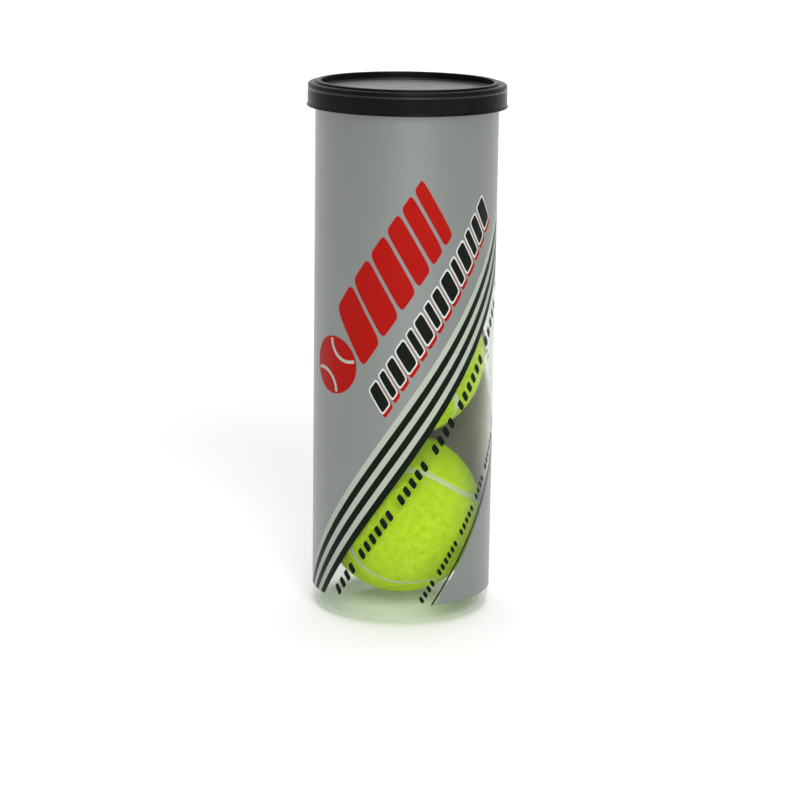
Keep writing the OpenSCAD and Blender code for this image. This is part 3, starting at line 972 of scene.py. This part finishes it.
def ball_turn(turns):
    """Rotation about X, then Y, then Z, as a 3 by 3 array."""
    x, y, z = (math.radians(a) for a in turns)
    return np.array(Matrix.Rotation(z, 3, "Z") @ Matrix.Rotation(y, 3, "Y") @ Matrix.Rotation(x, 3, "X"))


def lobe_size(tilt):
    """Angular radius of a lobe for which neighbouring lobes just touch: cos = cos(tilt) / sqrt(2)."""
    return math.acos(math.cos(tilt) / math.sqrt(2))


def panel_half_width(beta, tilt, inset):
    """Half width of a felt panel, as an angle, at angle beta along its middle line.

    Up to the equator the edge is the rim of the other panel's lobe, cos(tilt) sin(a) + sin(tilt) cos(a)
    cos(beta) = cos(size + inset); past it the edge is the rim of its own lobe, cos(a) cos(beta - 90 -
    tilt) = cos(size - inset).
    """
    size = lobe_size(tilt)
    beta = np.abs(beta)
    tall = np.hypot(math.cos(tilt), math.sin(tilt) * np.cos(beta))
    lead = np.arctan2(math.sin(tilt) * np.cos(beta), math.cos(tilt))
    waist = np.arcsin(np.clip(math.cos(size + inset) / tall, -1, 1)) - lead
    lobe = np.arccos(np.clip(math.cos(size - inset) / np.cos(beta - math.pi / 2 - tilt), -1, 1))
    return np.where(beta <= math.pi / 2, waist, lobe)


def other_way(points):
    """Turns a panel upside down and a quarter round, which gives the second panel."""
    return np.stack([points[..., 1], points[..., 0], -points[..., 2]], -1)


def soft_noise(points, size, seed):
    """Smooth noise from -1 to 1: the mean of eight sines along random directions."""
    source = np.random.default_rng(seed)
    ways = unit(source.normal(size=(8, 3))) * TURN / size
    return np.sin(points @ ways.T + source.uniform(0, TURN, 8)).mean(-1) * 1.8


class BALLCAN_OT_balls(bpy.types.Operator):
    """Builds each ball's two felt panels, its loose fibres and its rubber seam"""
    bl_idname = "ball_can.balls"
    bl_label = "Balls"

    def execute(self, context):
        balls = context.scene.ball_can_balls
        # Both felts carry painted shade in the nap's hollows and a painted highlight on the tips; the loose
        # fibres get more of the highlight
        felt = self.felt_material("felt_cloth", balls.dye, 0.45)
        loose = self.felt_material("felt_fibres", balls.dye, 0.8)
        rubber = worn_material("seam_rubber", balls.rubber, 0.65, 0.85, grain=0.6, bump=0.35, dust=-0.08,
                               scratches=0.2, smears=0.8)
        core = worn_material("core_rubber", (0.16, 0.16, 0.15), 0.6, 0.8, grain=0.8, bump=0.3)
        for number, turns in zip(BALLS, BALL_TURNS):
            self.place(number, turns)
            body = f"ball_{number}"
            for seed, which in enumerate("ab"):
                node = f"{body}_felt_{which}"
                points, faces = self.panel(balls, which, 10 * number + seed)
                piece = new_piece(f"{body}_panel_{which}", self.set_down(points), faces, body, "felt", felt,
                                  60)
                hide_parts(node)
                hairs, hair_faces = self.fibres(balls, which, 40 * number + seed)
                nap = new_piece(f"{body}_nap_{which}", self.set_down(hairs), hair_faces, body, "felt", loose,
                                0)
            strip = new_piece(f"{body}_seam_strip", *self.seam(balls), body, "seam_rubber", rubber, 60)
            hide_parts(f"{body}_seam")
            for half in ("lower", "upper"):
                assign(f"{body}_core_{half}", core)
        return {"FINISHED"}

    def place(self, number, turns):
        """Notes the ball's radius, its centre, midway up its felt's box, and its turn."""
        lows, highs = zip(*(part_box(f"ball_{number}_{piece}") for piece in ("felt_a", "felt_b")))
        low, high = min(c.z for c in lows), max(c.z for c in highs)
        self.radius = bpy.context.scene.ball_can_balls.radius
        self.centre = np.array([0, 0, (low + high) / 2])
        self.turn = ball_turn(turns)

    def set_down(self, points):
        """Turns points about the ball's centre and lifts them to its place in the can."""
        return points.reshape(-1, 3) @ self.turn.T + self.centre

    def panel_place(self, balls, which, t, w, inset):
        """Unit vector at share t along a panel and share w across it, both from -1 to 1."""
        tilt, size = balls.lobe_tilt, lobe_size(balls.lobe_tilt)
        longest = math.pi / 2 + tilt + size - inset
        beta = longest * np.sin(math.pi / 2 * t)
        alpha = w * panel_half_width(beta, tilt, inset)
        points = np.stack([np.sin(alpha), np.cos(alpha) * np.sin(beta), np.cos(alpha) * np.cos(beta)], -1)
        return points if which == "a" else other_way(points)

    def panel(self, balls, which, seed):
        """Felt panel: a closed loop carried along it, out over the felt and back under it.

        The felt's surface is the ball's radius plus soft noise, and falls off by a quarter circle of
        radius EDGE_R beside the seam.
        """
        inset = balls.seam / 2 / self.radius
        t = np.linspace(-1, 1, 181)[:, None]
        w = np.sin(np.linspace(-math.pi / 2, math.pi / 2, 97))[None, :]
        skin = self.panel_place(balls, which, t, w, inset)
        edge = self.edge_distance(balls, skin if which == "a" else other_way(skin), inset)
        short = np.clip(1 - edge / EDGE_R, 0, 1)
        drop = EDGE_R * (1 - np.sqrt(np.clip(1 - short ** 2, 0, 1)))
        lumps = sum(height * soft_noise(skin * self.radius, size, seed + step)
                    for height, size, step in FELT_LUMPS)
        outer = skin * (self.radius - drop + lumps - FELT_SINK)[..., None]
        under = self.panel_place(balls, which, t, np.linspace(1, -1, 33)[None, :], inset)
        under = under * (self.radius - balls.felt + CORE_GAP)
        loop = np.concatenate([outer, under], 1)
        return loop.reshape(-1, 3), grid_faces(loop.shape[0], loop.shape[1], False, True)

    def edge_distance(self, balls, skin, inset):
        """Distance over the ball from a point of panel a to its edge, from the lobes' centres."""
        tilt, size = balls.lobe_tilt, lobe_size(balls.lobe_tilt)
        x, y, z = np.abs(skin[..., 0]), np.abs(skin[..., 1]), skin[..., 2]
        to_other = np.arccos(np.clip(x * math.cos(tilt) + z * math.sin(tilt), -1, 1)) - (size + inset)
        to_own = (size - inset) - np.arccos(np.clip(y * math.cos(tilt) - z * math.sin(tilt), -1, 1))
        return np.clip(np.where(z >= 0, to_other, to_own), 0, 1) * self.radius

    def fibres(self, balls, which, seed):
        """Loose fibres: thin bent blades of three triangles that lean at random over the felt.

        A blade rises from its foot to a knee and on to a sharp tip, more and more along its lean.
        """
        count = balls.fibres
        source = np.random.default_rng(seed)
        inset = (balls.seam / 2 + 0.5 * MM) / self.radius
        t = source.uniform(-1, 1, count)
        w = source.uniform(-1, 1, count)
        keep = source.uniform(0, 1, count) < np.cos(math.pi / 2 * t) * 1.2 + 0.05
        t, w = t[keep], w[keep]
        out = self.panel_place(balls, which, t, w, inset)
        lean = unit(np.cross(out, source.normal(size=out.shape)))
        side = np.cross(out, lean)
        reach = (balls.fibre * source.uniform(0.5, 1.4, len(out)))[:, None]
        rise = source.uniform(0.15, 0.55, len(out))[:, None]
        foot = out * (self.radius - FIBRE_ROOT)
        knee = foot + out * reach * 0.55 + lean * reach * 0.25
        tip = foot + out * reach * (0.55 + rise * 0.4) + lean * reach * 0.85
        half = side * FIBRE_HALF
        blade = np.stack([foot - half, foot + half, knee + half, knee - half, tip], 1)
        start = np.arange(len(out))[:, None] * 5
        faces = np.concatenate([start + [0, 1, 2], start + [0, 2, 3], start + [3, 2, 4]])
        return blade, faces

    def seam(self, balls):
        """Rubber seam: a crowned strip carried along the four lobe arcs.

        Each arc is cos(size) C + sin(size) (cos(f) A + sin(f) B), with C the lobe's centre; the strip
        widens it by a small angle to both sides and rises to its crown by a cosine.
        """
        tilt, size = balls.lobe_tilt, lobe_size(balls.lobe_tilt)
        c, s = math.cos(tilt), math.sin(tilt)
        lobes = [((c, 0, s), (-s, 0, c), (0, 1, 0), 1), ((0, c, -s), (0, -s, -c), (-1, 0, 0), -1),
                 ((-c, 0, s), (s, 0, c), (0, -1, 0), 1), ((0, -c, -s), (0, s, -c), (1, 0, 0), -1)]
        longest = math.acos(-math.tan(tilt) / math.tan(size))
        f = np.linspace(-longest, longest, 90, endpoint=False)[:, None, None]
        half = (balls.seam / 2 + SEAM_LAP) / self.radius
        w = np.linspace(-1, 1, 9)
        crown = self.radius - SEAM_SINK + SEAM_CROWN * np.cos(w * math.pi / 2)
        floor = self.radius - balls.felt + CORE_GAP
        across = np.concatenate([w, w[::-1]])[None, :, None] * half
        lift = np.concatenate([crown, np.full(9, floor)])[None, :, None]
        rows = []
        for centre, a, b, sign in lobes:
            reach = size + sign * across
            ray = np.cos(f) * np.array(a) + np.sin(f) * np.array(b)
            rows.append((np.cos(reach) * np.array(centre) + np.sin(reach) * ray) * lift)
        path = np.concatenate(rows)
        return self.set_down(path), grid_faces(path.shape[0], path.shape[1], True, True)

    def felt_material(self, name, dye, lit_tips):
        """Napped wool and nylon felt: mottled dye with painted shade in the nap's hollows and a painted
        highlight on its tips, a deep bump and a soft sheen.
        """
        material, tree, shader = new_material(name, Roughness=0.95, Sheen_Weight=0.3, Sheen_Roughness=0.6,
                                              Specular_IOR_Level=0.06, Sheen_Tint=(0.78, 1.0, 0.08))
        nap = place_group(tree, "felt_nap", build_nap_group, Dye=dye, Pale_Tips=lit_tips)
        feed(tree, nap["Color"], shader.inputs["Base Color"])
        add_bump(tree, shader, nap["Height"], 0.7, 0.4 * MM)
        return material


# ---------- stage ----------

# Name, place, target, width and power of each lamp
LAMPS = (
    ("top", (0, 0.4, 2.2), (0, 0, 0), 2.6, 32),
    ("front", (0.25, -1.4, 1.05), (0, 0, 0.1), 0.8, 20),
    ("left", (-1.5, 0.1, 0.7), (0, 0, 0.1), 0.7, 0.6),
    ("right", (1.6, -0.2, 0.6), (0, 0, 0.1), 0.7, 0.8),
)


class BALLCAN_OT_stage(bpy.types.Operator):
    """Sets up the pale floor, the soft lights and the camera"""
    bl_idname = "ball_can.stage"
    bl_label = "Stage"

    def execute(self, context):
        scene = context.scene
        self.floor()
        self.lights(scene)
        self.camera(scene, scene.ball_can_stage)
        return {"FINISHED"}

    def floor(self):
        """Pale round floor under the can, more and more self-lit far out, where the lamps don't reach."""
        points, faces = turned([(0, 0), (0.3, 0), (1.5, 0), (6, 0)], 96)
        mesh = bpy.data.meshes.new("pale_floor")
        mesh.from_pydata(points, [], faces.tolist())
        material, tree, shader = new_material("floor_paint", Base_Color=(0.93, 0.93, 0.93), Roughness=0.8,
                                              Emission_Color=(1, 1, 1))
        reach = add_node(tree, "ShaderNodeVectorMath", operation="LENGTH", Vector=object_place(tree))
        glow = maths(tree, "MULTIPLY_ADD", ramp(tree, reach.outputs["Value"], 0.3, 2.2), 0.55, 0.1)
        feed(tree, glow, shader.inputs["Emission Strength"])
        mesh.materials.append(material)
        floor = bpy.data.objects.new("pale_floor", mesh)
        bpy.context.scene.collection.objects.link(floor)

    def lights(self, scene):
        """Broad lamps over and in front of the can, and a sky that is brighter behind the can.

        The sky looks white to the camera alone; elsewhere its strength rises from front to back.
        """
        world = bpy.data.worlds.new("studio")
        scene.world = world
        world.use_nodes = True
        tree = world.node_tree
        sky = tree.nodes["Background"].inputs
        feed(tree, (1, 1, 1), sky["Color"])
        way = add_node(tree, "ShaderNodeSeparateXYZ",
                       Vector=add_node(tree, "ShaderNodeTexCoord").outputs["Generated"])
        strength = maths(tree, "MULTIPLY_ADD", ramp(tree, way.outputs["Y"], 0.1, 0.75), 0.75, 0.12)
        seen = add_node(tree, "ShaderNodeLightPath").outputs["Is Camera Ray"]
        feed(tree, maths(tree, "MAXIMUM", strength, seen), sky["Strength"])
        for name, place, target, size, power in LAMPS:
            lamp = bpy.data.lights.new(name, "AREA")
            lamp.energy = power
            lamp.size = size
            holder = bpy.data.objects.new(name, lamp)
            holder.location = place
            holder.rotation_euler = (Vector(place) - Vector(target)).to_track_quat("Z", "Y").to_euler()
            scene.collection.objects.link(holder)

    def camera(self, scene, stage):
        """Long lens in front of the can, a little above it, looking slightly down."""
        lens = bpy.data.cameras.new("studio_camera")
        lens.lens = stage.lens
        lens.sensor_width = 36
        camera = bpy.data.objects.new("studio_camera", lens)
        camera.matrix_world = (
            Matrix.Translation((0, -stage.distance, stage.height)) @ Matrix.Rotation(stage.pan, 4, "Z")
            @ Matrix.Rotation(math.pi / 2 - stage.tilt, 4, "X") @ Matrix.Rotation(stage.roll, 4, "Z")
        )
        scene.collection.objects.link(camera)
        scene.camera = camera
        scene.view_settings.view_transform = "Standard"
        scene.cycles.transparent_max_bounces = 24


# ---------- panel and registration ----------

OPERATORS = (
    BALLCAN_OT_stage,
    BALLCAN_OT_clear_can,
    BALLCAN_OT_label_film,
    BALLCAN_OT_label_print,
    BALLCAN_OT_metal_end,
    BALLCAN_OT_pull_tab,
    BALLCAN_OT_overcap,
    BALLCAN_OT_balls,
)


class BALLCAN_PT_sidebar(bpy.types.Panel):
    """Lists the can's settings and the buttons that build its pieces"""
    bl_idname = "BALLCAN_PT_sidebar"
    bl_label = "Ball Can"
    bl_space_type = "VIEW_3D"
    bl_region_type = "UI"
    bl_category = "Ball Can"

    def draw(self, context):
        for group in SETTINGS:
            box = self.layout.box()
            for key in getattr(context.scene, group).bl_rna.properties.keys():
                if key not in ("rna_type", "name"):
                    box.prop(getattr(context.scene, group), key)
        for operator in OPERATORS:
            self.layout.operator(operator.bl_idname)


def register():
    for name, settings in SETTINGS.items():
        bpy.utils.register_class(settings)
        setattr(bpy.types.Scene, name, PointerProperty(type=settings))
    for kind in OPERATORS + (BALLCAN_PT_sidebar,):
        bpy.utils.register_class(kind)


def unregister():
    for kind in (BALLCAN_PT_sidebar,) + OPERATORS[::-1]:
        bpy.utils.unregister_class(kind)
    for name, settings in SETTINGS.items():
        delattr(bpy.types.Scene, name)
        bpy.utils.unregister_class(settings)


def main():
    register()
    for operator in OPERATORS:
        group, name = operator.bl_idname.split(".")
        getattr(getattr(bpy.ops, group), name)()


if __name__ == "__main__":
    main()
